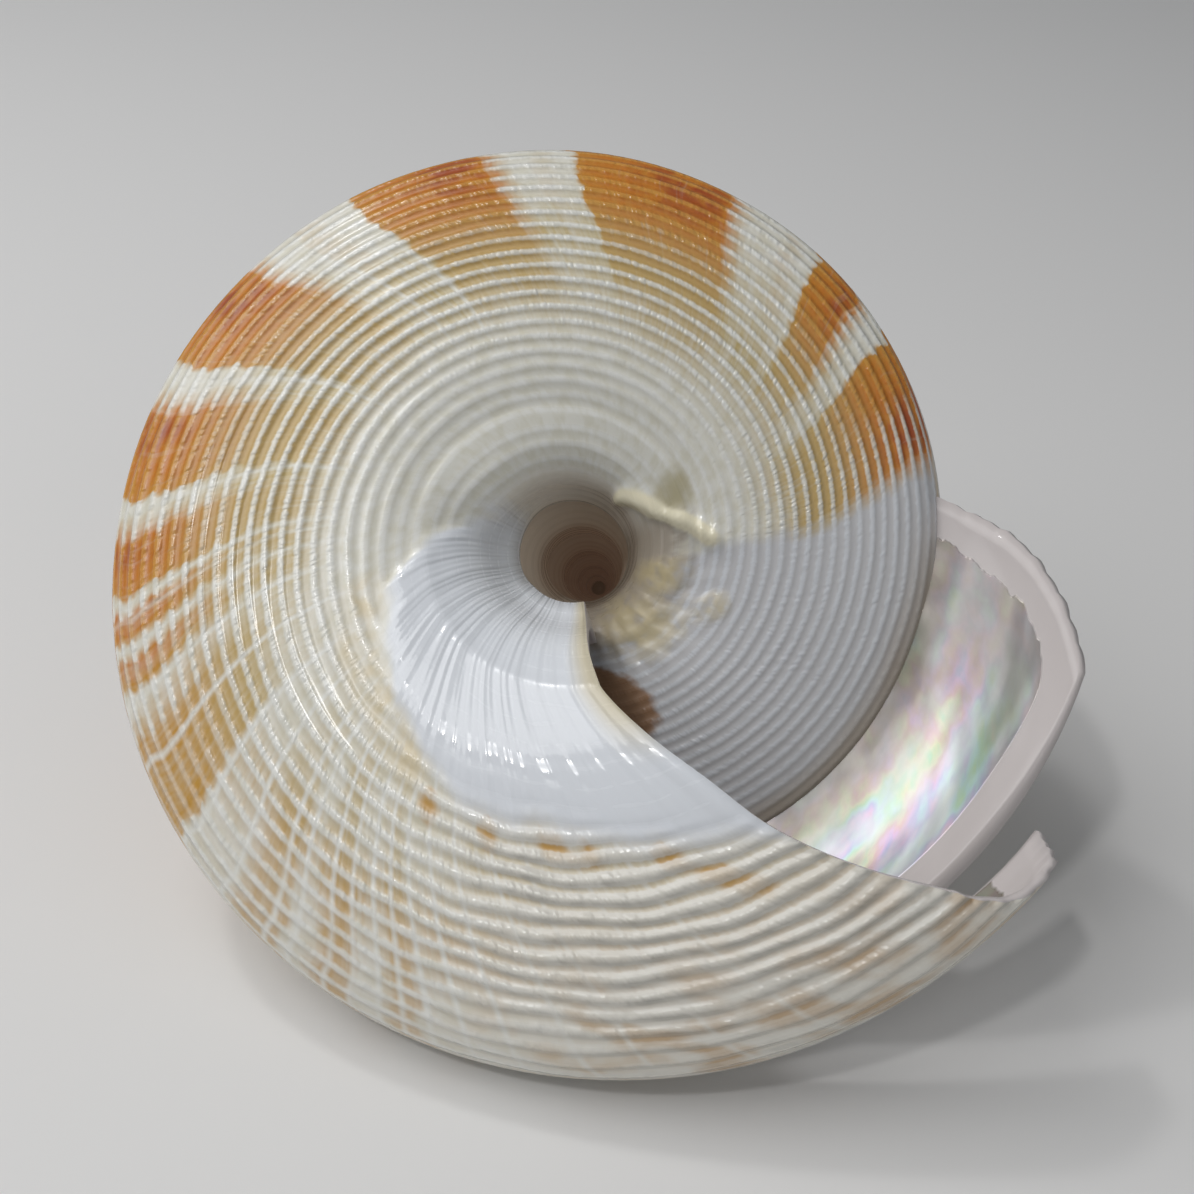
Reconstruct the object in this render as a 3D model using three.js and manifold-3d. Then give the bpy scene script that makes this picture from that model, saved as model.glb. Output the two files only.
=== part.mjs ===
// Slit shell: a conical, top-shaped sea snail shell with an open umbilicus and a slit in its outer lip.
// The shell is one piece, built the way the animal grows it: the outline of the wall turns about the axis
// and enlarges by the same share at every step, and each whorl is fused to the one before it.
// Millimetres, +Z up. The shell lies on its side, with its base facing -Y and upwards.
import * as THREE from 'three';
import { mergeVertices } from 'three/addons/utils/BufferGeometryUtils.js';
import Module from 'manifold-3d';

const turn = 360;

// Driving dimensions
const lipRadius = 50; // axis to the rim of the base, at the lip
const whorlExpansion = 1.5; // growth of every size in one turn
const wallThickness = 1.7; // at the lip, and in proportion on the earlier whorls
const lipEdgeShare = 0.45; // the wall thins to this share at the free edge
const lipTaper = 24; // degrees of growth over which it thins
const lipReach = 90; // degrees of growth over which the edge takes its slanted course
const slitSpan = 45; // degrees of growth over which the slit is still open
const slitReach = 3; // the slit's cut, out and in from the smooth surface
const slitBandDepth = 0.35; // behind the slit, its healed track is a shallow groove
const slitBandBevel = 0.15; // share of the track's width that each of its sloped sides takes
const cordHeight = 0.55; // spiral cords, crest above groove, at the lip
const shoulderCords = 4; // between the suture and the slit
const undersideCords = 15; // between the slit and the umbilicus
const apexRadius = 2.4; // the rounded tip of the spire
const apexDepth = 3.2; // its centre below the point where the spire's lines meet

// Resting pose. The shell grows with its apex at the origin and its base facing +Z. It is then rolled
// about its axis, and leans until its side lies on the table.
const restRoll = -26.39; // degrees
const restLean = 48.36; // degrees
const restingFlat = 0.3; // depth worn flat where the side touches the table

// The outline of the wall. Each point is its distance from the axis and its depth below the apex, in lip
// radii, and the degrees by which the lip's edge there runs ahead of the slit's lower corner.
const shoulder = outline([
  [0.652, 0.818, 42],
  [0.72, 0.848, 38],
  [0.8, 0.902, 33],
  [0.87, 0.97, 26],
  [0.925, 1.04, 18],
]);
const underside = outline([
  [0.968, 1.115, 0],
  [0.99, 1.165, -1],
  [1, 1.21, -2.5],
  [0.985, 1.262, -6],
  [0.94, 1.305, -9],
  [0.86, 1.34, -12],
  [0.75, 1.368, -17],
  [0.62, 1.385, -23],
  [0.5, 1.388, -28],
  [0.4, 1.377, -35],
  [0.3, 1.346, -44],
]);
const columella = outline([
  [0.3, 1.346, -44],
  [0.235, 1.29, -46],
  [0.19, 1.215, -46],
  [0.165, 1.12, -46],
  [0.155, 1.02, -46],
  [0.163, 0.938, -46],
  [0.188, 0.874, -46],
]);

// Growth is measured in degrees of turn, 0 at the lip and negative before it. Each age of the shell is made
// in segments too short to meet themselves, and overlaps the next age by a step. Its faces have these
// numbers of steps along the shoulder, the underside and the columella.
const step = 15;
const earlyStep = 24;
const lastWhorl = {
  from: -375, to: 0, segments: 5, outer: [2 * shoulderCords, 2 * undersideCords, 5], inner: [2, 7, 4],
};
const secondWhorl = {
  from: -720, to: -360, segments: 4, outer: [2 * shoulderCords, 6, 2], inner: [1, 5, 2],
};
const thirdWhorl = { from: -1065, to: -705, segments: 4, outer: [3, 6, 2], inner: [1, 5, 2] };
const earlyWhorls = { from: -2520, to: -1050, segments: 5, outer: [2, 5, 2] };

const wasm = await Module();
wasm.setup();

function outline(rows) {
  return new THREE.CatmullRomCurve3(
    rows.map(([distance, depth, lead]) => new THREE.Vector3(distance, depth, lead / turn)),
  );
}

// Stations along one stretch of the outline: where the smooth surface is, which way is out, and its relief.
// Cords are evenly spaced. A level face keeps the outline's own spacing, which is closest at the rim.
function stretch(curve, steps, relief = level) {
  return Array.from({ length: steps + 1 }, (_, i) => {
    const place = relief === corded ? curve.getUtoTmapping(i / steps) : i / steps;
    const point = curve.getPoint(place);
    const tangent = curve.getTangent(place);
    return {
      distance: point.x,
      depth: point.y,
      lead: point.z * turn,
      out: new THREE.Vector2(tangent.y, -tangent.x).normalize(),
      relief: relief(i, steps),
    };
  });
}

function level() {
  return 0;
}

// Crest and groove by turns, level with the smooth surface at both ends
function corded(i, steps) {
  if (i === 0 || i === steps) return 0;
  return i % 2 ? cordHeight / 2 : -cordHeight / 2;
}

// Two stretches that meet at a shared station
function joined(first, second) {
  return [...first, ...second.slice(1)];
}

// A station moved out of the smooth surface by a height in millimetres at the lip
function raised(station, height) {
  return {
    distance: station.distance + (station.out.x * height) / lipRadius,
    depth: station.depth + (station.out.y * height) / lipRadius,
    lead: station.lead,
  };
}

// The healed slit, a groove between the last shoulder station and the first underside station
function slitBand(upper, lower) {
  return [slitBandBevel, 1 - slitBandBevel].map((share) => ({
    distance: THREE.MathUtils.lerp(upper.distance, lower.distance, share),
    depth: THREE.MathUtils.lerp(upper.depth, lower.depth, share),
    lead: THREE.MathUtils.lerp(upper.lead, lower.lead, share),
    out: upper.out,
    relief: -slitBandDepth,
  }));
}

// A point of the shell: the outline's station, turned and enlarged to its growth
function grown(station, growth) {
  const angle = growth + station.lead * Math.max(1 + growth / lipReach, 0);
  const size = lipRadius * whorlExpansion ** (angle / turn);
  const bearing = THREE.MathUtils.degToRad(angle);
  return [
    size * station.distance * Math.cos(bearing),
    size * station.distance * Math.sin(bearing),
    size * station.depth,
  ];
}

// The closed section of the wall at a growth: along the outer face, and back along the inner one
function wallSection(outer, inner) {
  return (growth) => {
    const thin = THREE.MathUtils.smoothstep(-growth, 0, lipTaper);
    const thickness = wallThickness * THREE.MathUtils.lerp(lipEdgeShare, 1, thin);
    const outside = outer.map((station) => raised(station, station.relief));
    const inside = inner.map((station) => raised(station, -thickness)).reverse();
    return [...outside, ...inside];
  };
}

function solid(points, triangles) {
  return new wasm.Manifold(new wasm.Mesh({
    numProp: 3,
    vertProperties: new Float32Array(points),
    triVerts: new Uint32Array(triangles),
  }));
}

// A solid swept by a closed section from one growth to another
function sweep(section, from, to, stepSize) {
  const rings = Math.round((to - from) / stepSize);
  const start = section(from);
  const count = start.length;
  const last = rings * count;
  const points = [];
  const triangles = [];
  for (let ring = 0; ring <= rings; ring++) {
    const growth = from + ((to - from) * ring) / rings;
    for (const station of section(growth)) points.push(...grown(station, growth));
  }
  for (let ring = 0; ring < rings; ring++) {
    for (let i = 0; i < count; i++) {
      const a = ring * count + i;
      const b = ring * count + ((i + 1) % count);
      triangles.push(a, a + count, b, b, a + count, b + count);
    }
  }
  const flat = start.map((station) => new THREE.Vector2(station.distance, station.depth));
  for (const [a, b, c] of THREE.ShapeUtils.triangulateShape(flat, [])) {
    triangles.push(a, b, c, last + a, last + c, last + b);
  }
  return solid(points, triangles);
}

function segments(section, age, stepSize) {
  const span = (age.to - age.from) / age.segments;
  return Array.from({ length: age.segments }, (_, i) => {
    const from = age.from + span * i;
    return sweep(section, from, from + span, stepSize);
  });
}

// Hollow whorls. A shoulder or underside that the next whorl covers has no cords.
function makeHollow(age, shoulderRelief, undersideRelief) {
  const upper = stretch(shoulder, age.outer[0], shoulderRelief);
  const lower = joined(stretch(underside, age.outer[1], undersideRelief), stretch(columella, age.outer[2]));
  const outer = [...upper, ...slitBand(upper.at(-1), lower[0]), ...lower];
  const inner = [
    ...stretch(shoulder, age.inner[0]),
    ...joined(stretch(underside, age.inner[1]), stretch(columella, age.inner[2])),
  ];
  return segments(wallSection(outer, inner), age, step);
}

// The oldest whorls are filled in. Their long steps are widened until the flats touch the true circle.
function makeFilled(age) {
  const widening = 1 / Math.cos(THREE.MathUtils.degToRad(earlyStep / 2));
  const lower = joined(stretch(underside, age.outer[1]), stretch(columella, age.outer[2]));
  const around = [...stretch(shoulder, age.outer[0]), ...lower];
  const section = around.map((station) => ({ ...station, distance: station.distance * widening }));
  return segments(() => section, age, earlyStep);
}

// The open part of the slit, deeper than the wall on both sides
function makeSlit() {
  const upper = stretch(shoulder, 1)[1];
  const lower = stretch(underside, 1)[0];
  const outside = [raised(upper, slitReach), raised(lower, slitReach)];
  const inside = [raised(lower, -slitReach), raised(upper, -slitReach)];
  return sweep(() => [...outside, ...inside], -slitSpan, step, step);
}

function makeApex() {
  const ball = new THREE.SphereGeometry(apexRadius, 16, 8);
  ball.deleteAttribute('normal');
  ball.deleteAttribute('uv');
  const welded = mergeVertices(ball.translate(0, 0, apexDepth));
  return solid(welded.attributes.position.array, welded.index.array);
}

// The fused body without the specks that rounding leaves
function largest(solids) {
  return solids.decompose().sort((a, b) => b.volume() - a.volume())[0];
}

// The shell laid on its side, worn flat where it touches the table, and centred over the origin
function rested(upright) {
  const lying = upright.rotate([0, 0, restRoll]).rotate([restLean, 0, 0]);
  const worn = lying.trimByPlane([0, 0, 1], lying.boundingBox().min[2] + restingFlat);
  const { min, max } = worn.boundingBox();
  return worn.translate([-(min[0] + max[0]) / 2, -(min[1] + max[1]) / 2, -min[2]]);
}

function meshGeometry(manifold) {
  const { vertProperties, triVerts } = manifold.getMesh();
  const geometry = new THREE.BufferGeometry();
  geometry.setAttribute('position', new THREE.BufferAttribute(vertProperties, 3));
  geometry.setIndex(new THREE.BufferAttribute(triVerts, 1));
  geometry.computeVertexNormals();
  return geometry;
}

const fused = wasm.Manifold.union([
  ...makeHollow(lastWhorl, corded, corded),
  ...makeHollow(secondWhorl, corded, level),
  ...makeHollow(thirdWhorl, level, level),
  ...makeFilled(earlyWhorls),
  makeApex(),
]);
const shell = rested(largest(fused.subtract(makeSlit())));

const shellMaterial = new THREE.MeshStandardMaterial({ color: 0xd8b88c, roughness: 0.4, metalness: 0 });
const shellMesh = new THREE.Mesh(meshGeometry(shell), shellMaterial);
shellMesh.name = 'shell';
const slitShell = new THREE.Group();
slitShell.add(shellMesh);

export default slitShell;
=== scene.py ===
# %% [markdown]
# A slit shell, grown in Blender.
# The real shell is one piece. The animal adds a thin strip of wall at the lip, a little wider each time,
# and so the whole shell is one outline that turns about an axis while it enlarges. This lesson does the
# same: it draws the lip once, and extrudes it step by step from the tip of the spire to the lip.

import math

import bmesh
import bpy
import numpy as np
from mathutils import Matrix, Vector


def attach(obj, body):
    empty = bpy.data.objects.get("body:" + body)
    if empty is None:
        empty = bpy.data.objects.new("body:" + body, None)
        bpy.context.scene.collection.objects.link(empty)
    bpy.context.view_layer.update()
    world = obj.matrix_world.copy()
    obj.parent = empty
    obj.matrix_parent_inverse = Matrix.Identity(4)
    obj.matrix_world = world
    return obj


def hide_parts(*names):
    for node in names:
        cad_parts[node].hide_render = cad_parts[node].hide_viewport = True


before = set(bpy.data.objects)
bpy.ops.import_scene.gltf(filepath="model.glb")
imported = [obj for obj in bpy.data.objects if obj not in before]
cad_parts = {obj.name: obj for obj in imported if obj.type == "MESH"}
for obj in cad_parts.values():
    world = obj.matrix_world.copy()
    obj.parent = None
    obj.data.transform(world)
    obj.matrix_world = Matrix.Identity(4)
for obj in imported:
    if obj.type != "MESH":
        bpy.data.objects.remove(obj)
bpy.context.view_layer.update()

# %% [markdown]
# The growth law.
# Growth is counted in degrees of turn: 0 at the lip, and negative for everything that was made before it.
# In one full turn every size grows by the same factor, which makes the spiral logarithmic.
# The shell grows with its tip at the origin and its base facing +Z, and is laid on its side at the end.

# %% Growth and resting pose
LIP_RADIUS = 0.050
WHORL_GROWTH = 1.5
REST_ROLL = math.radians(-26.39)
REST_LEAN = math.radians(48.36)
TIP = Vector((-0.002177, 0.037543, -0.000033))
FIRST_GROWTH = -2520
SLIT_SPAN = 45


def size_at(angle):
    return LIP_RADIUS * WHORL_GROWTH ** (angle / 360)


print("whorls:", -FIRST_GROWTH / 360, "first whorl radius, mm:", round(size_at(FIRST_GROWTH) * 1000, 2))

# %% [markdown]
# The outline of the lip.
# It runs from the suture, where a whorl meets the one before it, down the shoulder to the slit, round the
# rim, across the base and up the wall of the umbilicus, the open hole in the middle of the base.
# Each row has the distance from the axis and the depth below the tip, in lip radii, and the lead: how many
# degrees the growing edge is ahead of the slit's lower corner there. The lead gives the lip its slant.

# %% Outline rows
SHOULDER = [
    (0.652, 0.818, 42),
    (0.72, 0.848, 38),
    (0.8, 0.902, 33),
    (0.87, 0.97, 26),
    (0.925, 1.04, 18),
]
UNDERSIDE = [
    (0.968, 1.115, 0),
    (0.99, 1.165, -1),
    (1.0, 1.21, -2.5),
    (0.985, 1.262, -6),
    (0.94, 1.305, -9),
    (0.86, 1.34, -12),
    (0.75, 1.368, -17),
    (0.62, 1.385, -23),
    (0.5, 1.388, -28),
    (0.4, 1.377, -35),
    (0.3, 1.346, -44),
]
COLUMELLA = [
    (0.3, 1.346, -44),
    (0.235, 1.29, -46),
    (0.19, 1.215, -46),
    (0.165, 1.12, -46),
    (0.155, 1.02, -46),
    (0.163, 0.938, -46),
    (0.188, 0.874, -46),
]
CURVE_STEPS = 16


def smooth_curve(rows):
    """Points along a Catmull-Rom curve through the rows."""
    rows = np.array(rows, float)
    ends = np.vstack([2 * rows[0] - rows[1], rows, 2 * rows[-1] - rows[-2]])
    points = []
    for before, here, there, after in zip(ends, ends[1:], ends[2:], ends[3:]):
        for t in np.arange(CURVE_STEPS) / CURVE_STEPS:
            bend = (2 * before - 5 * here + 4 * there - after) * t**2
            twist = (3 * here - before - 3 * there + after) * t**3
            points.append(0.5 * (2 * here + (there - before) * t + bend + twist))
    points.append(rows[-1])
    return np.array(points)


def evenly(rows, count):
    """Stations at equal distances along the curve."""
    curve = smooth_curve(rows)
    length = np.concatenate([[0], np.cumsum(np.hypot(*np.diff(curve[:, :2], axis=0).T))])
    places = np.linspace(0, length[-1], count + 1)
    return np.column_stack([np.interp(places, length, column) for column in curve.T])


print("outline rows:", len(SHOULDER), len(UNDERSIDE), len(COLUMELLA))

# %% [markdown]
# Spiral cords.
# Fine raised cords run along the whorls, with stained grooves between them. A number that counts the cords
# along the outline serves twice: it shapes the relief of the mesh, and later it tells the paint where a
# cord and where a groove is. Four stations to a cord are enough for a rounded section. The cords end at the
# collar of the umbilicus, and its smooth wall needs only one station in place of four.

# %% Stations of the outline
SHOULDER_CORDS = 11
BAND_CORDS = 2
UNDERSIDE_CORDS = 25
COLUMELLA_CORDS = 15
COLLAR_CORDS = 4
FLANK_CORDS = 6
PER_CORD = 4
COLLAR_END = COLLAR_CORDS * PER_CORD
COLUMELLA_END = COLUMELLA_CORDS * PER_CORD

shoulder = evenly(SHOULDER, SHOULDER_CORDS * PER_CORD)
band = evenly([SHOULDER[-1], UNDERSIDE[0]], 6)[1:-1]
underside = evenly(UNDERSIDE, UNDERSIDE_CORDS * PER_CORD)
inward_steps = np.r_[1:COLLAR_END, COLLAR_END:COLUMELLA_END + 1:PER_CORD]
columella = evenly(COLUMELLA, COLUMELLA_END)[inward_steps]
outline = np.vstack([shoulder, band, underside, columella])

REACH, DEPTH, LEAD = outline.T
CORD = np.concatenate([
    np.linspace(-SHOULDER_CORDS - BAND_CORDS, -BAND_CORDS, len(shoulder)),
    np.linspace(-BAND_CORDS, 0, len(band) + 2)[1:-1],
    np.linspace(0, UNDERSIDE_CORDS, len(underside)),
    UNDERSIDE_CORDS + inward_steps / PER_CORD,
])
slope = np.gradient(outline[:, :2], axis=0)
OUT = np.column_stack([slope[:, 1], -slope[:, 0]]) / np.hypot(*slope.T)[:, None]

SLIT_TOP = len(shoulder) - 1
SLIT_BOTTOM = SLIT_TOP + len(band) + 1
FLANK_END = SLIT_BOTTOM + FLANK_CORDS * PER_CORD
COLUMELLA_START = len(outline) - len(columella)
ALL = range(len(outline))
print("stations:", len(outline), "slit width, mm:", round(np.hypot(*(
    outline[SLIT_BOTTOM, :2] - outline[SLIT_TOP, :2])) * LIP_RADIUS * 1000, 1))

# %% [markdown]
# Relief.
# The cords stand about 0.3 mm proud. Near the umbilicus a callus, a smooth porcelain layer, covers them.
# It starts on the collar of the umbilicus, comes out on the base about a quarter turn before the lip, and
# spreads over more of it as the lip is reached. An older callus left a low ridge, and inside the umbilicus
# runs another. The healed slit is a shallow groove along the side. All of it is one height above the
# smooth outline, in metres at the lip, worked out per station.

# %% Height above the smooth outline
CORD_HEIGHT = 0.00030
LIP_CORD_HEIGHT = 0.00006
CALLUS_HEIGHT = 0.00055
CALLUS_GROWTH = (-160, -149, -108, -97, -93, -76, -68, -58, -42, -22, -12, 0)
CALLUS_BORDER = (0.15, 0.195, 0.22, 0.30, 0.37, 0.41, 0.455, 0.49, 0.505, 0.515, 0.55, 0.60)
LAMELLA_HEIGHT = 0.0012
LAMELLA_GROWTH = (-292, -275, -260, -228)
LAMELLA_LINE = (0.39, 0.32, 0.262, 0.205)
RIM_FILL = 0.0019
PATCH_HEIGHT = 0.00008
FUNICLE_HEIGHT = 0.0016
FUNICLE_DEPTH = 1.10
BAND_DEPTH = 0.0003
WALL = 0.0017
EDGE_SHARE = 0.4
TAPER = 24


def ease(low, high, value):
    """0 below low, 1 above high, and an even S between them."""
    t = np.clip((value - low) / (high - low), 0, 1)
    return t * t * (3 - 2 * t)


def cord_number(growth):
    """The cords waver a little along their way."""
    waver = 0.10 * np.sin(0.19 * growth + 0.9 * CORD) + 0.06 * np.sin(0.47 * growth - 1.3 * CORD)
    inside = (CORD > 0.5) & (CORD < UNDERSIDE_CORDS)
    return CORD + waver * inside * (0.25 + 0.75 * ease(-110, -50, growth))


def callus_share(growth):
    """1 on the callus, 0 on the bare cords."""
    border = np.interp(growth, CALLUS_GROWTH, CALLUS_BORDER)
    border = border + 0.010 * np.sin(0.23 * growth) + 0.006 * np.sin(0.61 * growth + 1)
    soft = 0.05 + 0.06 * ease(-75, -40, growth)
    outside_only = np.maximum(ease(0.98, 1.16, DEPTH), ease(-97, -50, growth))
    share = ease(border + soft, border - 0.03, REACH) * ease(CALLUS_GROWTH[0], CALLUS_GROWTH[2], growth)
    return share * outside_only * (CORD > 0)


def lamella_share(growth):
    """A low ridge beside the umbilicus, left by an older callus."""
    line = np.interp(growth, LAMELLA_GROWTH, LAMELLA_LINE)
    ends = ease(LAMELLA_GROWTH[0] - 2, LAMELLA_GROWTH[0] + 6, growth)
    ends = ends * ease(LAMELLA_GROWTH[-1] + 6, LAMELLA_GROWTH[-1] - 6, growth)
    return np.exp(-(((REACH - line) / 0.020) ** 2)) * (CORD > 0) * ends


def umbilicus_relief(growth):
    """A full rim, crumbs of old callus beside it, and a spiral ridge, the funicle, on the wall inside."""
    older = ease(-100, -150, growth)
    full = ease(1.1, 1.24, DEPTH) * ease(0.34, 0.24, REACH) * (CORD > UNDERSIDE_CORDS - 4)
    crumbs = np.sin(0.71 * growth + 1.1 * CORD) * np.sin(0.37 * growth - 2.3 * CORD)
    crumbs = crumbs + np.sin(1.9 * growth + CORD)
    patch = ease(-290, -312, growth) * ease(-392, -365, growth)
    patch = patch * ease(0.47, 0.38, REACH) * ease(0.17, 0.24, REACH)
    funicle = np.exp(-(((DEPTH - FUNICLE_DEPTH) / 0.05) ** 2)) * (CORD > UNDERSIDE_CORDS)
    funicle = FUNICLE_HEIGHT * funicle * ease(-520, -400, growth)
    return RIM_FILL * full * older + PATCH_HEIGHT * crumbs * patch + funicle


def cord_wave(growth, faded):
    """Narrow cords on most of the base. Near the lip and in the aperture they are broad."""
    turn = 2 * math.pi * cord_number(growth)
    narrow = (0.5 - 0.5 * np.cos(turn)) ** 1.2
    broad = 1 - (0.5 + 0.5 * np.cos(turn)) ** 2.5
    return narrow + (broad - narrow) * np.maximum(ease(-80, -40, growth), faded)


def relief(growth):
    """All heights together. Where the next whorl's aperture lies on the base, the cords are faded."""
    faded = ease(-292, -305, growth) * (CORD > 4)
    callus = callus_share(growth)
    number = np.floor(CORD)
    uneven = 1 + 0.3 * np.sin(0.11 * growth + 1.7 * number) * np.sin(0.043 * growth - CORD)
    uneven = uneven * (0.8 + 0.3 * np.sin(4.7 * number) * np.sin(1.9 * number + 0.01 * growth))
    smooth = ease(0.205, 0.25, REACH) * (CORD < UNDERSIDE_CORDS + COLLAR_CORDS) * (1 - callus)
    smooth = smooth * (1 - 0.55 * faded) * (1 - faded * ease(0.50, 0.40, REACH))
    top = CORD_HEIGHT * (1 - 0.4 * ease(-130, -100, growth)) + LIP_CORD_HEIGHT * ease(-80, -10, growth)
    cords = top * cord_wave(growth, faded) * smooth * uneven
    groove = np.where((CORD > -BAND_CORDS) & (CORD < 0), 1.0, 0.0)
    ridge = LAMELLA_HEIGHT * lamella_share(growth) + umbilicus_relief(growth)
    return cords * (1 - groove) - BAND_DEPTH * groove + CALLUS_HEIGHT * callus + ridge


def thickness(growth):
    """The wall thins towards the lip."""
    return WALL * (EDGE_SHARE + (1 - EDGE_SHARE) * ease(0, TAPER, -growth))


def ragged_lead(growth):
    """The lip's edge is scalloped by the cords and a little chipped."""
    scallop = 0.10 * np.cos(2 * math.pi * (CORD - 0.5)) * (CORD < 4)
    chips = 0.20 * np.sin(2.1 * CORD) * np.sin(1.37 * CORD + 0.6) * (CORD < 8)
    torn = (0.20 * np.sin(7.9 * CORD) + 0.15 * np.sin(3.1 * CORD + 2)) * ease(5, 2, CORD) * (CORD >= 0)
    return (scallop + chips + torn) * ease(-4, 0, growth)


def ring_at(growth, height):
    """Where every station is at one growth, at a height above the smooth outline."""
    angle = growth + LEAD + ragged_lead(growth)
    size = size_at(angle)
    distance = size * (REACH + OUT[:, 0] * height / LIP_RADIUS)
    depth = size * (DEPTH + OUT[:, 1] * height / LIP_RADIUS)
    turned = np.radians(angle)
    return np.column_stack([distance * np.cos(turned), distance * np.sin(turned), depth])


print("relief half a turn before the lip, mm:", round(float(np.ptp(relief(-180))) * 1000, 2))

# %% [markdown]
# Growth lines.
# The growing edge was less slanted on the base in its youth than the lip is now. The markings were laid
# down along that edge, so the growth that the paint reads is shifted on the base, and only there.

# %% Growth as the markings record it
SLANT_REACH = (0.3, 0.4, 0.5, 0.6, 0.8, 0.93, 0.99)
SLANT_SHIFT = (-17, -14.5, -9.5, -7.5, -5, -3.5, 0)
on_base = np.arange(len(outline)) > np.argmax(REACH)
base_shift = np.interp(REACH, SLANT_REACH, SLANT_SHIFT) * on_base


def marked_growth(growth):
    return growth + base_shift * (1 - ease(-90, -20, growth))


print("greatest shift, degrees:", -base_shift.min())

# %% [markdown]
# Places of spots.
# Stains, worn places, crumbs of old callus and an olive painted shadow beside the old ridge are ovals on
# the
# base, at places listed: growth and its half width, distance from the axis and its half width. Every vertex
# keeps how far it is from the nearest oval of each kind. The paint only has to compare that with 1, which
# costs less than working it out in every point.

# %% Ovals
SPOTS = {
    "dots": [(at, 2.5, far, 0.03) for at, far in (
        (-62, 0.575), (-48, 0.575), (-35, 0.57), (-28, 0.59), (-16, 0.61), (-12, 0.66), (-10, 0.70))],
    "worn": [(at, 7.0, far, 0.05) for at, far in (
        (-108, 0.43), (-98, 0.47), (-89, 0.485), (-80, 0.49), (-70, 0.52))],
    "patch": [(-352, 22, 0.30, 0.10), (-331, 6, 0.415, 0.045), (-318, 14, 0.26, 0.06)],
    "ridge_shadow": [(-273, 11, 0.30, 0.04)],
}
FAR_FROM_SPOTS = 9.0


def spot_distance(kind, marking):
    """The squared distance to the nearest oval of a kind, 1 on its border."""
    nearest = np.full(len(outline), FAR_FROM_SPOTS)
    for at, half_growth, far, half_reach in SPOTS[kind]:
        square = ((marking - at) / half_growth) ** 2 + ((REACH - far) / half_reach) ** 2
        nearest = np.minimum(nearest, square)
    return nearest


print("spots:", {kind: len(ovals) for kind, ovals in SPOTS.items()})

# %% [markdown]
# Growing the wall.
# The first growth line is a short chain of vertices. Every step extrudes its edges and sets the new
# vertices on the next growth line. The extruded vertices keep the number of their station, because an
# extrusion copies the data of the vertices that it starts from. Whorls that the next one covers need no
# base, so the early front has only the shoulder and the wall of the umbilicus. In the last eighth of a
# turn the edges of the healed band stop growing, and that leaves the slit open.

# %% Outer wall
BASE_FROM = -450
AGES = ((FIRST_GROWTH, -1120, 10), (-1120, -760, 7.5), (-760, -405, 5), (-405, 0, 2.5))
growths = [g for start, end, step in AGES for g in np.arange(start, end, step)] + [0]

bm = bmesh.new()
station_of = bm.verts.layers.int.new("station")
growth_of = bm.verts.layers.float.new("growth")
cord_of = bm.verts.layers.float.new("cord")
reach_of = bm.verts.layers.float.new("reach")
callus_of = bm.verts.layers.float.new("callus")
lamella_of = bm.verts.layers.float.new("lamella")
marking_of = bm.verts.layers.float.new("marking")
spot_of = {kind: bm.verts.layers.float.new(kind) for kind in SPOTS}


def set_on(verts, growth, height):
    """Put vertices on a growth line, and write down where they are on the shell."""
    ring = ring_at(growth, height)
    marking = marked_growth(growth)
    cords = cord_number(growth)
    callus = callus_share(growth)
    lamella = lamella_share(growth)
    spots = [(layer, spot_distance(kind, marking)) for kind, layer in spot_of.items()]
    for vert in verts:
        station = vert[station_of]
        vert.co = ring[station]
        vert[growth_of] = growth
        vert[marking_of] = marking[station]
        vert[cord_of] = cords[station]
        vert[reach_of] = REACH[station]
        vert[callus_of] = callus[station]
        vert[lamella_of] = lamella[station]
        for layer, distance in spots:
            vert[layer] = distance[station]


def chain(stations, growth, height, joined=()):
    """New vertices on a growth line, joined to each other and to those of the front beside them."""
    verts = {vert[station_of]: vert for vert in joined}
    made = []
    for station in stations:
        vert = bm.verts.new()
        vert[station_of] = station
        verts[station] = vert
        made.append(vert)
    set_on(made, growth, height)
    pairs = [(verts[s], verts[s + 1]) for s in sorted(verts) if s + 1 in verts]
    return [bm.edges.new(pair) for pair in pairs if bm.edges.get(pair) is None]


def extrude_to(front, growth, height):
    """One step of growth."""
    made = bmesh.ops.extrude_edge_only(bm, edges=front)["geom"]
    verts = {item for item in made if isinstance(item, bmesh.types.BMVert)}
    set_on(verts, growth, height)
    edges = [item for item in made if isinstance(item, bmesh.types.BMEdge)]
    return [edge for edge in edges if verts.issuperset(edge.verts)]


def front_verts(front):
    return {vert for edge in front for vert in edge.verts}


def across_slit(edge):
    return all(SLIT_TOP <= vert[station_of] <= SLIT_BOTTOM for vert in edge.verts)


front = chain([s for s in ALL if s < FLANK_END or s >= COLUMELLA_START], growths[0], relief(growths[0]))
for growth in growths[1:]:
    if growth > -SLIT_SPAN:
        front = [edge for edge in front if not across_slit(edge)]
    front = extrude_to(front, growth, relief(growth))
    if growth == BASE_FROM:
        hidden = range(FLANK_END, COLUMELLA_START)
        front += chain(hidden, growth, relief(growth), joined=front_verts(front))
outer_faces = list(bm.faces)
print("growth lines:", len(growths), "outer faces:", len(outer_faces))

# %% [markdown]
# The lip's thickness and the inside.
# The free edge, with both sides of the slit, is extruded once towards the inside. That is the thickness
# that shows at the lip. The inner wall is then grown from the lip back into the aperture, on the same
# stations, and its border falls on the extruded edge, so that merging the doubles sews them together.

# %% Lip edge and inner wall
INNER_DEPTH = -225
inner_growths = [g for g in reversed(growths) if g >= -SLIT_SPAN]
deeper_growths = list(np.arange(-SLIT_SPAN - 5, INNER_DEPTH - 1, -5))


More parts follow.
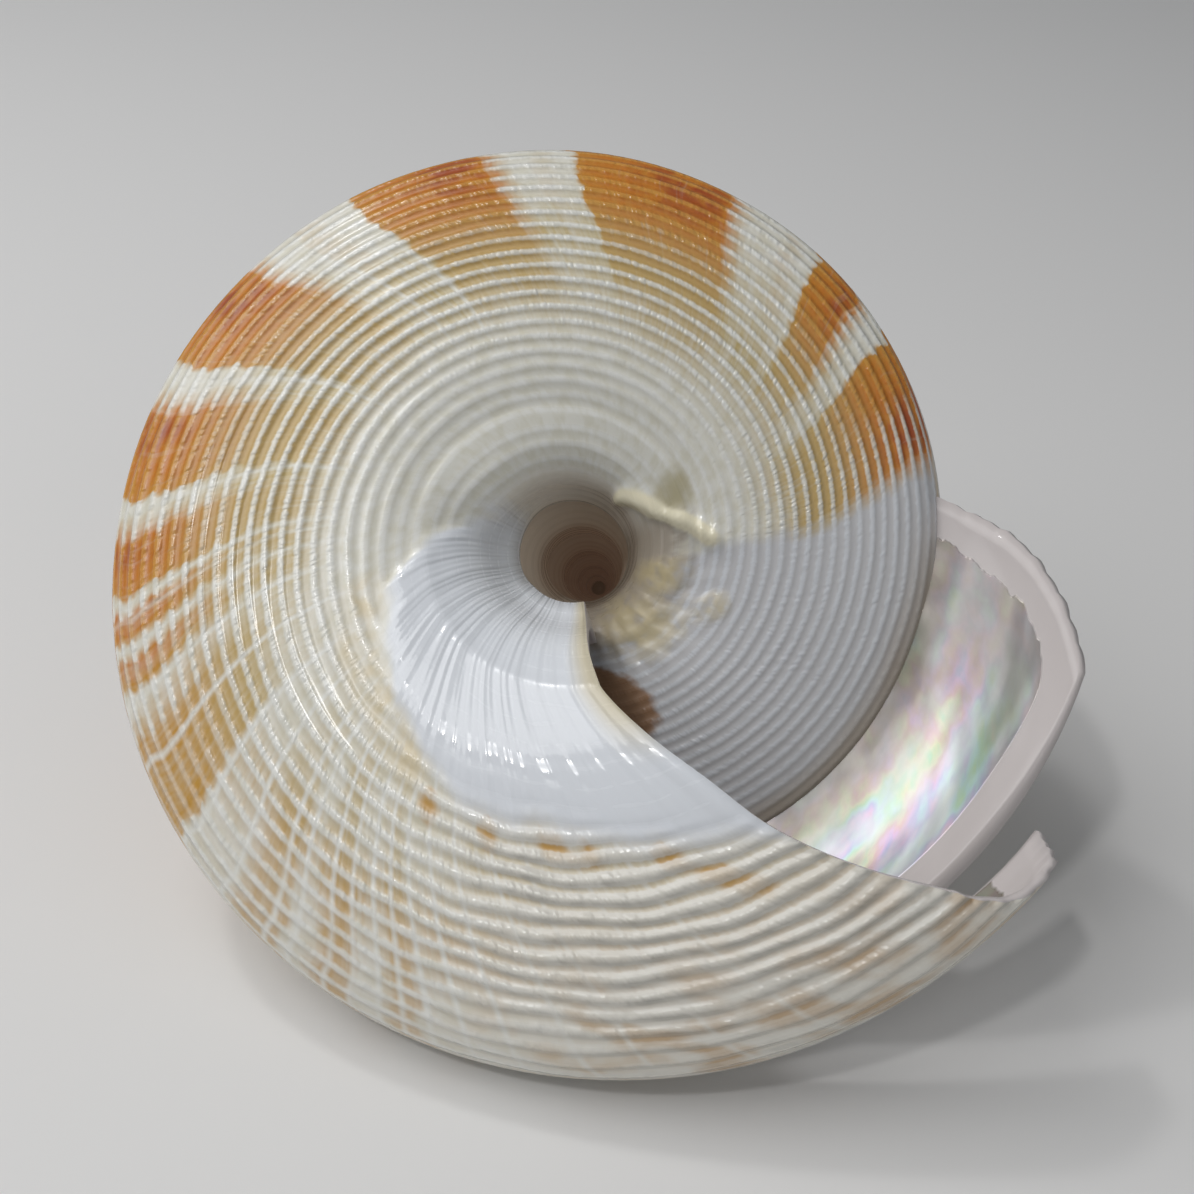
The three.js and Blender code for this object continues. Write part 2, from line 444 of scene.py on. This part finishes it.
def on_free_edge(vert):
    station, growth = vert[station_of], vert[growth_of]
    beside_slit = station in (SLIT_TOP, SLIT_BOTTOM) and growth >= -SLIT_SPAN
    slit_end = SLIT_TOP <= station <= SLIT_BOTTOM and growth == -SLIT_SPAN
    return growth == 0 or beside_slit or slit_end


def free_edges():
    border = [edge for edge in bm.edges if edge.is_boundary]
    return [edge for edge in border if all(on_free_edge(vert) for vert in edge.verts)]


made = bmesh.ops.extrude_edge_only(bm, edges=free_edges())["geom"]
edge_verts = [item for item in made if isinstance(item, bmesh.types.BMVert)]
for growth in inner_growths:
    set_on([vert for vert in edge_verts if vert[growth_of] == growth], growth, -thickness(growth))
known = set(outer_faces)
edge_faces = [face for face in bm.faces if face not in known]

lobes = [s for s in ALL if s <= SLIT_TOP or s >= SLIT_BOTTOM]
front = chain(lobes, 0, -thickness(0))
front = [edge for edge in front if not across_slit(edge)]
for growth in inner_growths[1:]:
    front = extrude_to(front, growth, -thickness(growth))
healed = range(SLIT_TOP + 1, SLIT_BOTTOM)
front += chain(healed, -SLIT_SPAN, -thickness(-SLIT_SPAN), joined=front_verts(front))
for growth in deeper_growths:
    front = extrude_to(front, growth, -thickness(growth))
known.update(edge_faces)
inner_faces = [face for face in bm.faces if face not in known]
print("lip edge faces:", len(edge_faces), "inner faces:", len(inner_faces))

# %% [markdown]
# The tip, and the resting pose.
# The first whorl ends in a small round tip. Then the whole shell is rolled about its axis and leaned over
# until its side lies on the table, as it is in the frame. The spots that touch the table are worn flat.

# %% Tip, pose and object
TIP_RADIUS = 0.0024
TIP_DEPTH = 0.0032
tip = bmesh.ops.create_uvsphere(
    bm, u_segments=24, v_segments=12, radius=TIP_RADIUS, matrix=Matrix.Translation((0, 0, TIP_DEPTH)))
for vert in tip["verts"]:
    vert[growth_of] = FIRST_GROWTH
    vert[marking_of] = FIRST_GROWTH
    vert[cord_of] = -SHOULDER_CORDS
    vert[reach_of] = 1
    for layer in spot_of.values():
        vert[layer] = FAR_FROM_SPOTS

for face in bm.faces:
    face.smooth = True
for face in inner_faces + edge_faces:
    face.material_index = 1
bmesh.ops.remove_doubles(bm, verts=bm.verts[:], dist=1e-7)
bmesh.ops.recalc_face_normals(bm, faces=bm.faces[:])
bmesh.ops.rotate(bm, verts=bm.verts[:], cent=(0, 0, 0), matrix=Matrix.Rotation(REST_ROLL, 3, "Z"))
bmesh.ops.rotate(bm, verts=bm.verts[:], cent=(0, 0, 0), matrix=Matrix.Rotation(REST_LEAN, 3, "X"))
bmesh.ops.translate(bm, verts=bm.verts[:], vec=TIP)
for vert in bm.verts:
    vert.co.z = max(vert.co.z, 0)

shell_mesh = bpy.data.meshes.new("grown_shell")
bm.to_mesh(shell_mesh)
bm.free()
shell = bpy.data.objects.new("grown_shell", shell_mesh)
bpy.context.scene.collection.objects.link(shell)
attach(shell, "root")
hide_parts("shell")
print("triangles:", sum(len(face.vertices) - 2 for face in shell_mesh.polygons))

# %% [markdown]
# A small language for shaders.
# The paint of a shell is arithmetic on where a point is: how long ago it grew and which cord it is on.
# One class wraps a socket, so that the arithmetic can be written as Python expressions.


# %% Wires
class Wire:
    """A socket of a node tree that can be added, multiplied and handed to other nodes."""

    def __init__(self, socket):
        self.socket = socket
        self.tree = socket.id_data

    def node(self, kind, settings, values, output=0):
        """Add any node: its settings first, then the values or wires of its inputs."""
        made = self.tree.nodes.new(kind)
        for name, value in settings.items():
            setattr(made, name, value)
        for name, value in values.items():
            if isinstance(value, Wire):
                self.tree.links.new(value.socket, made.inputs[name])
            else:
                made.inputs[name].default_value = value
        return Wire(made.outputs[output])

    def math(self, operation, first, second=0.0):
        return self.node("ShaderNodeMath", {"operation": operation}, {0: first, 1: second})

    def __add__(self, other):
        return self.math("ADD", self, other)

    def __sub__(self, other):
        return self.math("SUBTRACT", self, other)

    def __mul__(self, other):
        return self.math("MULTIPLY", self, other)

    def __rsub__(self, other):
        return self.math("SUBTRACT", other, self)

    __radd__ = __add__
    __rmul__ = __mul__

    def step(self, low, high):
        """0 below low, 1 above high, and an even S between them. Low may be the greater."""
        return self.node(
            "ShaderNodeMapRange",
            {"interpolation_type": "SMOOTHSTEP"},
            {"Value": self, "From Min": low, "From Max": high},
        )

    def tint(self, under, over):
        """Mix two colours, with this wire as the share of the second."""
        return self.node(
            "ShaderNodeMix", {"data_type": "RGBA"}, {"Factor": self, 6: under, 7: over}, output=2)


def rgb(red, green, blue):
    return (red, green, blue, 1.0)


def attribute(tree, name):
    reader = tree.nodes.new("ShaderNodeAttribute")
    reader.attribute_name = name
    return Wire(reader.outputs["Fac"])


def new_finish(name):
    material = bpy.data.materials.new(name)
    material.use_nodes = True
    return material, material.node_tree, material.node_tree.nodes["Principled BSDF"]


# %% [markdown]
# Reading the surface.
# The paint of the outside needs a few readings in every point: the growth that the markings record, the
# cord and whether the point is on its crest, the distance from the axis, and the share of callus. Noise is
# read along the same directions, so that its grain runs with the cords or with the growth lines.

# %% Readings of the outside


def paint_chip(red, green, blue):
    """A colour as a screen shows it, 0 to 255, in the linear light that shaders use."""
    parts = [part / 255 for part in (red, green, blue)]
    return (*[part / 12.92 if part < 0.04 else ((part + 0.055) / 1.055) ** 2.4 for part in parts], 1.0)


outside, tree, skin = new_finish("shell_outside")
growth = attribute(tree, "marking")
cord = attribute(tree, "cord")
reach = attribute(tree, "reach")
callus = attribute(tree, "callus")
phase = cord * (2 * math.pi)
crest = 0.5 - 0.5 * phase.math("COSINE", phase)


def grain(along, across, seed, detail=2.0):
    """Noise of 0 to 1. Along is its fineness per degree of growth, across its fineness per cord."""
    place = growth.node("ShaderNodeCombineXYZ", {}, {"X": growth * along, "Y": cord * across, "Z": seed})
    return growth.node("ShaderNodeTexNoise", {}, {"Vector": place, "Scale": 1.0, "Detail": detail})


rough = grain(0.22, 0.9, 3.0)
broad = grain(0.03, 0.15, 11.0)
fold = grain(0.24, 0.05, 5.0, 1.0)
thread = grain(1.1, 0.22, 13.0, 1.0)
bead = grain(0.9, 1.0, 7.0, 1.0)
wrinkle = grain(0.30, 0.16, 17.0, 0.0)
blotch = grain(0.13, 0.5, 19.0)
place = tree.nodes.new("ShaderNodeTexCoord").outputs["Object"]
crumb = growth.node("ShaderNodeTexNoise", {}, {"Vector": Wire(place), "Scale": 420.0, "Detail": 2.0})
ragged = (crumb - 0.5) * 3.5


def spot(kind):
    """1 in the middle of the ovals of a kind, 0 outside them, with a ragged border."""
    return (attribute(tree, kind) + ragged).step(1.9, -0.2)


def largest(shares):
    """The greatest of several shares."""
    most = shares[0]
    for share in shares[1:]:
        most = most.math("MAXIMUM", most, share)
    return most


print("nodes that read the surface:", len(tree.nodes))

# %% [markdown]
# Flames.
# Each flame was laid down while the lip stood at one growth, so its sides follow growth lines: soft where
# it began, sharp where it ended, and reddest in between. White growth lines cut through them where the
# animal paused. The places of both on the last whorl are listed: start, end and strength of a flame, and
# the middle of a growth line. Colour ramps hold them as tables along the growth, a few to each ramp. The
# flames of the older whorls come from a noise.

# %% Flames and growth lines
FLAMES = (
    (-309.5, -287.5, 1.0),
    (-283.0, -271.5, 0.95),
    (-268.5, -265.5, 0.15),
    (-258.5, -231.0, 1.0),
    (-227.5, -224.5, 0.08),
    (-220.5, -198.0, 1.0),
    (-193.0, -189.0, 0.15),
    (-184.5, -165.5, 1.0),
    (-161.5, -146.0, 0.95),
    (-143.0, -133.0, 0.95),
    (-132.5, -127.5, 0.85),
    (-126.5, -121.5, 0.75),
    (-119.0, -103.5, 0.75),
    (-94.0, -86.0, 0.45),
    (-81.5, -75.5, 0.55),
    (-70.5, -66.5, 0.4),
)
PAUSES = (
    -197.0, -188.5, -163.5, -144.5, -132.2, -130.3, -126.5, -120.5, -112.5, -102.5, -95.0, -88.0,
    -84.5, -79.5, -76.0, -72.2, -69.0, -65.5, -61.0, -55.5, -47.5, -40.5, -31.0, -22.0,
)
PAUSE_HALF_WIDTH = 0.7
FLAMES_PER_RAMP = 6
PAUSES_PER_RAMP = 8
BLEACHED_BEFORE = -307.0

edge_wander = growth + (rough - 0.5) * 3.0 + (grain(0.02, 1.0, 1.0, 0.0) - 0.5) * 1.6


def table(along, stops):
    """Read two shares from stops of (place, share, share) along a wire. One ramp holds up to 32 of them."""
    low, high = stops[0][0], stops[-1][0]
    ramp = tree.nodes.new("ShaderNodeValToRGB")
    elements = ramp.color_ramp.elements
    elements[0].color = rgb(*stops[0][1:], 0.0)
    elements[1].color = rgb(*stops[-1][1:], 0.0)
    for place, first, second in stops[1:-1]:
        elements.new((place - low) / (high - low)).color = rgb(first, second, 0.0)
    tree.links.new(((along - low) * (1 / (high - low))).socket, ramp.inputs["Fac"])
    split = tree.nodes.new("ShaderNodeSeparateColor")
    tree.links.new(ramp.outputs["Color"], split.inputs["Color"])
    return Wire(split.outputs["Red"]), Wire(split.outputs["Green"])


def flame_stops(group):
    """A flame's strength and redness: it rises, is reddest early on, and ends sharply."""
    stops = []
    ended = -math.inf
    for start, end, strength in group:
        span = end - start
        stops.append((max(start - 1.0, ended + 0.1), 0.0, 0.0))
        stops.append((start + min(4.0, 0.3 * span), strength, 0.8 * strength))
        stops.append((start + 0.4 * span, strength, strength))
        ended = end + 0.5
        stops.append((end - 0.5, strength, 0.4 * strength))
        stops.append((ended, 0.0, 0.0))
    return stops


def pause_stops(group):
    """A growth line is white in its middle, and fades on both sides."""
    return [(at + side, share, share) for at in group
            for side, share in ((-PAUSE_HALF_WIDTH, 0.0), (0.0, 1.0), (PAUSE_HALF_WIDTH, 0.0))]


def groups(rows, size):
    return [rows[at:at + size] for at in range(0, len(rows), size)]


flame_tables = [table(edge_wander, flame_stops(group)) for group in groups(FLAMES, FLAMES_PER_RAMP)]
flames = [strength for strength, redness in flame_tables]
ages = [redness for strength, redness in flame_tables]
pause_wander = growth + (broad - 0.5) * 2.0
pauses = [table(pause_wander, pause_stops(group))[0] for group in groups(PAUSES, PAUSES_PER_RAMP)]
pause = largest(pauses) * (0.35 + 0.65 * broad.step(0.25, 0.55)) * reach.step(0.32, 0.42) * 0.85

old_place = growth.node("ShaderNodeCombineXYZ", {}, {"X": edge_wander * 0.045})
old_noise = growth.node(
    "ShaderNodeTexNoise", {}, {"Vector": old_place, "Scale": 1.0, "Detail": 0.0})
bleached = (growth + (broad - 0.5) * 9.0).step(BLEACHED_BEFORE + 3.0, BLEACHED_BEFORE - 3.0)
spire = bleached * cord.step(4.2, 3.4)
flames.append(old_noise.step(0.46, 0.54) * spire)
ages.append(old_noise.step(0.5, 0.62) * spire)
flame = largest(flames)
heat = largest(ages) * (0.2 + 0.8 * growth.step(-108, -132))
bleached = bleached * cord.step(3.4, 4.2)
print("flames:", len(FLAMES), "growth lines:", len(PAUSES))

# %% [markdown]
# Colours of the outside.
# On the side and the rim a flame colours cords and grooves alike, rust-red at its strongest. Further in it
# shows only in the grooves, as orange and olive dashes between white cords, and it ends before the callus.
# Grooves outside the flames are faintly olive, and tan near the lip, where the cords are beige.

# %% Colours of the outside
IVORY = paint_chip(234, 233, 227)
PALE_OLIVE = paint_chip(215, 211, 194)
OLIVE = paint_chip(192, 170, 114)
TAN = paint_chip(186, 146, 92)
BEIGE = paint_chip(225, 221, 211)
ORANGE = paint_chip(197, 119, 32)
PEACH = paint_chip(213, 164, 86)
AMBER = paint_chip(194, 146, 60)
RUST = paint_chip(164, 76, 28)
PORCELAIN = paint_chip(226, 229, 234)
BLEACHED_CREST = paint_chip(215, 217, 221)
BLEACHED_GROOVE = paint_chip(198, 197, 198)

near_lip = growth.step(-70, -35)
narrow_groove = (crest + (bead - 0.5) * 0.6).step(1.0, 0.35)
thin_groove = (crest + (bead - 0.5) * 0.4).step(0.32, 0.04)
groove = narrow_groove + (thin_groove - narrow_groove) * near_lip
rim = reach.step(0.66, 0.86)

cream = (rough.step(0.35, 0.7) * 0.5 + groove * 0.4).tint(IVORY, PALE_OLIVE)
cream = near_lip.tint(cream, BEIGE)
groove_tint = (near_lip * reach.step(0.6, 0.85)).tint(OLIVE, TAN)
amber_growth = growth.step(-140, -118) * growth.step(-30, -60) * reach.step(0.62, 0.85)
groove_tint = amber_growth.tint(groove_tint, AMBER)
groove_share = groove * (0.3 + broad.step(0.3, 0.7) * 0.45) * reach.step(0.42, 0.62) * (1 - near_lip * 0.4)
pale_growth = growth.step(-126, -108) * growth.step(-40, -70) * reach.step(0.80, 0.66)
groove_share = groove_share * (1 - 0.7 * pale_growth) * (0.2 + 1.6 * thread)
groove_share = groove_share * (0.15 + 0.85 * reach.step(0.92, 0.72))
lip_stain = near_lip * reach.step(0.62, 0.95) * blotch.step(0.40, 0.66) * (0.45 + 0.3 * groove)
groove_share = largest([groove_share, lip_stain])
ground = (groove_share * (1 - pause)).tint(cream, groove_tint)
ground = bleached.tint(ground, groove.tint(BLEACHED_CREST, BLEACHED_GROOVE))

flame_colour = (heat.step(0.1, 0.6) * (0.4 + bead)).tint(AMBER, ORANGE)
red_share = heat.step(0.6, 0.95) * reach.step(0.78, 0.95) * rough.step(0.34, 0.6)
flame_colour = red_share.tint(flame_colour, RUST)
# On a flame the cord crests are paler peach: partly their own paler colour, partly a painted highlight on
# every crest.
flame_colour = (crest.step(0.5, 0.9) * 0.5).tint(flame_colour, PEACH)
flame_colour = (reach.step(0.90, 0.66) * 0.85).tint(flame_colour, OLIVE)
inward = (reach + (broad - 0.5) * 0.3).step(0.50, 0.72)
covered = rim * flame.step(0.55, 0.9) * growth.step(-302, -292)
grooved = (0.18 + 0.82 * groove) * inward
flame_share = flame * (covered + (1 - covered) * grooved) * (1 - pause * 0.85)
flame_share = flame_share * (0.65 + thread)
paint = flame_share.node("ShaderNodeClamp", {}, {"Value": flame_share}).tint(ground, flame_colour)
paint = (pause * growth.step(-125, -110) * growth.step(-38, -62) * 0.8).tint(paint, IVORY)
print("nodes, with the flames:", len(tree.nodes))

# %% [markdown]
# Callus, umbilicus, stains and painted shade.
# The callus is bluish porcelain, with a tan, worn border and amber spots beside it. The wall of the
# umbilicus is taupe. The older whorls further in are painted a lighter warm cream and given a faint
# emission:
# painted light that brightens the deep hole. Beside the umbilicus are rough straw-coloured patches of older
# callus. A brown hollow where the base goes under the inner lip, a darker slope into the umbilicus and an
# olive mark beside the old ridge are painted shadow. The old base inside the aperture is stained along its
# rim.

# %% Callus, umbilicus, stains and painted shade
TAUPE = paint_chip(224, 216, 203)
DEEP_CREAM_PAINTED_LIGHT = paint_chip(243, 230, 212)
STRAW = paint_chip(206, 190, 146)
CREAM = paint_chip(240, 232, 204)
WORN = paint_chip(214, 194, 150)
HOLLOW_SHADOW = paint_chip(146, 104, 62)
SLOPE_SHADE = paint_chip(178, 167, 152)
RIDGE_SHADOW = paint_chip(172, 160, 114)
STAIN = paint_chip(172, 156, 134)
DARK = rgb(0.0, 0.0, 0.0)
PAINTED_LIGHT_TINT = rgb(0.50, 0.33, 0.27)
PAINTED_LIGHT_STRENGTH = 0.02
GAP_GROWTH = -392.0
GAP_REACH = 0.49

worn = spot("worn") * (0.25 + crumb.step(0.4, 0.65))
paint = (worn * 0.75).tint(paint, WORN)
paint = (callus + (rough - 0.5) * 0.3).step(0.15, 0.85).tint(paint, PORCELAIN)
paint = (spot("dots") * (0.3 + 0.6 * groove)).tint(paint, AMBER)

wall = reach.step(0.235, 0.19) * cord.step(24.0, 25.0)
paint = (wall * (1 - callus)).tint(paint, TAUPE)
lip_strip = growth.step(-12, -2) * reach.step(0.46, 0.34) * cord.step(10.0, 14.0)
paint = (lip_strip * 0.7).tint(paint, STRAW)
# The slope of the older base down into the umbilicus is painted darker: painted shade.
slope_shade = growth.step(-258, -290) * growth.step(-400, -380)
slope_shade = slope_shade * (reach + (rough - 0.5) * 0.1).step(0.35, 0.26)
paint = (slope_shade * cord.step(18.0, 20.0)).tint(paint, SLOPE_SHADE)
# The older whorls deep in the umbilicus are painted a lighter warm cream: painted light that brightens the
# hole.
deep = growth.step(-395, -440) * cord.step(18.0, 20.0)
paint = deep.tint(paint, DEEP_CREAM_PAINTED_LIGHT)
patch = spot("patch")
paint = (patch * crumb.step(0.3, 0.62)).tint(paint, STRAW)
# An olive mark beside the old ridge is painted shadow.
paint = (spot("ridge_shadow") * 0.7).tint(paint, RIDGE_SHADOW)
paint = attribute(tree, "lamella").step(0.15, 0.6).tint(paint, CREAM)
# A brown crescent beside the inner lip is painted shadow of the hollow under the lip.
beyond = (growth - GAP_GROWTH) * 0.05
across = (reach - GAP_REACH) * 7.0
hollow_shadow = (beyond * beyond + across * across + (rough - 0.5) * 0.6).step(1.15, 0.75)
paint = (hollow_shadow * 0.9).tint(paint, HOLLOW_SHADOW)
stained_rim = bleached * (reach + (broad - 0.5) * 0.1).step(0.88, 0.97) * growth.step(-312, -330)
paint = (stained_rim * 0.75).tint(paint, STAIN)
healed_slit = cord.step(-2.05, -1.9) * cord.step(0.05, -0.1)
paint = (healed_slit * (0.25 + 0.5 * thread)).tint(paint, WORN)
tree.links.new(paint.socket, skin.inputs["Base Color"])
# The same whorls get a faint emission, painted light from a part that is no lamp.
tree.links.new(deep.tint(DARK, PAINTED_LIGHT_TINT).socket, skin.inputs["Emission Color"])
skin.inputs["Emission Strength"].default_value = PAINTED_LIGHT_STRENGTH
print("nodes, with the callus and stains:", len(tree.nodes))

# %% [markdown]
# Gloss and fine relief.
# The cords are worn to a soft gloss. The callus is glossier, with fine folds along the growth lines. The
# finest relief is too small for the mesh and is a bump: beads on the cords, wrinkles near the lip, and the
# growth lines that cross both.

# %% Gloss and bump of the outside
gloss = 0.44 - 0.26 * crest - 0.16 * callus + 0.12 * (rough - 0.5) + 0.2 * patch
tree.links.new(gloss.socket, skin.inputs["Roughness"])
skin.inputs["Coat Weight"].default_value = 0.3
skin.inputs["Coat Roughness"].default_value = 0.14

bare = (1 - callus) * (1 - 0.6 * growth.step(BLEACHED_BEFORE + 3.0, BLEACHED_BEFORE - 3.0))
height = (0.5 * bead * crest + 0.04 * thread) * bare * reach.step(0.3, 0.65)
height = height + 0.9 * near_lip * bare * wrinkle * crest
height = height + 0.25 * thread * healed_slit + 0.7 * fold * callus
height = height + 0.7 * patch * crumb
relief_bump = growth.node("ShaderNodeBump", {}, {"Strength": 0.8, "Distance": 0.0006, "Height": height})
tree.links.new(relief_bump.socket, skin.inputs["Normal"])
shell_mesh.materials.append(outside)
print("nodes of the outside:", len(tree.nodes))

# %% [markdown]
# The inside: mother-of-pearl.
# Nacre is made of thin flat crystals that split light into pale colours. The colours lie in streaks along
# the whorl. A narrow band along the lip and the slit has no nacre yet, and is a matt pinkish grey with a
# wavy border. Growth and cord are read again for this finish, and the noise follows the new readings.

# %% Inside finish
nacre, tree, pearl = new_finish("shell_nacre")
growth = attribute(tree, "growth")
cord = attribute(tree, "cord")
LIP_GREY = paint_chip(205, 197, 195)
NACRE_OLIVE = paint_chip(150, 144, 122)
sheen_place = grain(0.025, 0.28, 21.0, 2.0)
hue = sheen_place * 3.0 + grain(0.3, 0.6, 23.0, 3.0)
# Deeper in the aperture the nacre is painted lighter and more colourful, a painted sheen; elsewhere it is
# darker and more olive.
painted_sheen = growth.step(-12, -30) * cord.step(-12.5, -8.0)
tinge = grain(0.12, 0.5, 29.0, 2.0).step(0.3, 0.7) * (0.18 + 0.08 * painted_sheen) + 0.06
value = 0.14 + 0.44 * painted_sheen + 0.34 * grain(0.2, 0.7, 31.0, 3.0)
pastel = growth.node(
    "ShaderNodeCombineColor", {"mode": "HSV"},
    {"Red": hue.math("FRACT", hue), "Green": tinge, "Blue": value})
pastel = (0.4 - 0.38 * painted_sheen).tint(pastel, NACRE_OLIVE)
lip_border = growth + (grain(0.0, 0.8, 37.0) - 0.5) * 5.0
to_lip = lip_border.step(-13.0, 0.0)
to_slit = cord.step(-6.2, -1.8) * cord.step(0.2, 0.0) * growth.step(-56, -44)
lip_band = (to_lip * to_lip + to_slit * to_slit).step(0.22, 0.27)
tree.links.new(lip_band.tint(pastel, LIP_GREY).socket, pearl.inputs["Base Color"])
tree.links.new((0.26 + 0.24 * lip_band).socket, pearl.inputs["Roughness"])
tree.links.new((0.3 * (1 - lip_band)).socket, pearl.inputs["Metallic"])
waves = growth.node(
    "ShaderNodeBump", {},
    {"Strength": 0.4, "Distance": 0.0012, "Height": grain(0.05, 0.22, 41.0, 2.0) + 0.4 * (1 - lip_band)})
tree.links.new(waves.socket, pearl.inputs["Normal"])
pearl.inputs["Coat Weight"].default_value = 0.3
pearl.inputs["Coat Roughness"].default_value = 0.1
shell_mesh.materials.append(nacre)
print("nodes of the inside:", len(tree.nodes))

# %% [markdown]
# The table, the lights and the camera.
# The floor is plain and pale. A broad soft light stands high on the left, and a weaker one on the right.
# Two small lights add the sharp glints on the cords. The camera looks almost straight at the base, from a
# hand's length away.

# %% Floor, lights and camera
floor_mesh = bpy.data.meshes.new("floor")
bm = bmesh.new()
bmesh.ops.create_grid(bm, x_segments=1, y_segments=1, size=1.5)
bm.to_mesh(floor_mesh)
bm.free()
floor = bpy.data.objects.new("floor", floor_mesh)
bpy.context.scene.collection.objects.link(floor)
floor_finish, tree, floor_skin = new_finish("pale_floor")
floor_skin.inputs["Base Color"].default_value = rgb(0.78, 0.77, 0.76)
floor_skin.inputs["Roughness"].default_value = 0.8
floor_mesh.materials.append(floor_finish)

world = bpy.data.worlds.new("studio")
world.use_nodes = True
world.node_tree.nodes["Background"].inputs["Color"].default_value = rgb(0.9, 0.95, 1.0)
world.node_tree.nodes["Background"].inputs["Strength"].default_value = 0.17
bpy.context.scene.world = world


def soft_light(name, place, aim, size, power):
    lamp = bpy.data.lights.new(name, "AREA")
    lamp.size = size
    lamp.energy = power
    light = bpy.data.objects.new(name, lamp)
    light.location = place
    light.rotation_euler = (Vector(aim) - Vector(place)).to_track_quat("-Z", "Y").to_euler()
    bpy.context.scene.collection.objects.link(light)


MIDDLE = (0.0, 0.0, 0.03)
soft_light("key", (-0.30, -0.05, 0.45), MIDDLE, 0.45, 1.5)
soft_light("spark", (-0.16, -0.28, 0.50), MIDDLE, 0.035, 0.42)
soft_light("glint", (-0.26, 0.12, 0.50), MIDDLE, 0.05, 0.30)
soft_light("fill", (0.45, -0.35, 0.35), MIDDLE, 0.5, 0.36)
bpy.context.scene.view_settings.view_transform = "Standard"

CAMERA_PLACE = (0.01005, -0.12127, 0.11841)
CAMERA_AZIMUTH = math.radians(4.60)
CAMERA_ELEVATION = math.radians(36.81)
CAMERA_ROLL = math.radians(3.44)
lens = bpy.data.cameras.new("camera")
lens.sensor_width = 36
lens.lens = 48.5
lens.clip_start = 0.005
camera = bpy.data.objects.new("camera", lens)
camera.location = CAMERA_PLACE
turn = Matrix.Rotation(CAMERA_AZIMUTH, 3, "Z") @ Matrix.Rotation(math.pi / 2 - CAMERA_ELEVATION, 3, "X")
camera.rotation_euler = (turn @ Matrix.Rotation(CAMERA_ROLL, 3, "Z")).to_euler()
bpy.context.scene.collection.objects.link(camera)
bpy.context.scene.camera = camera
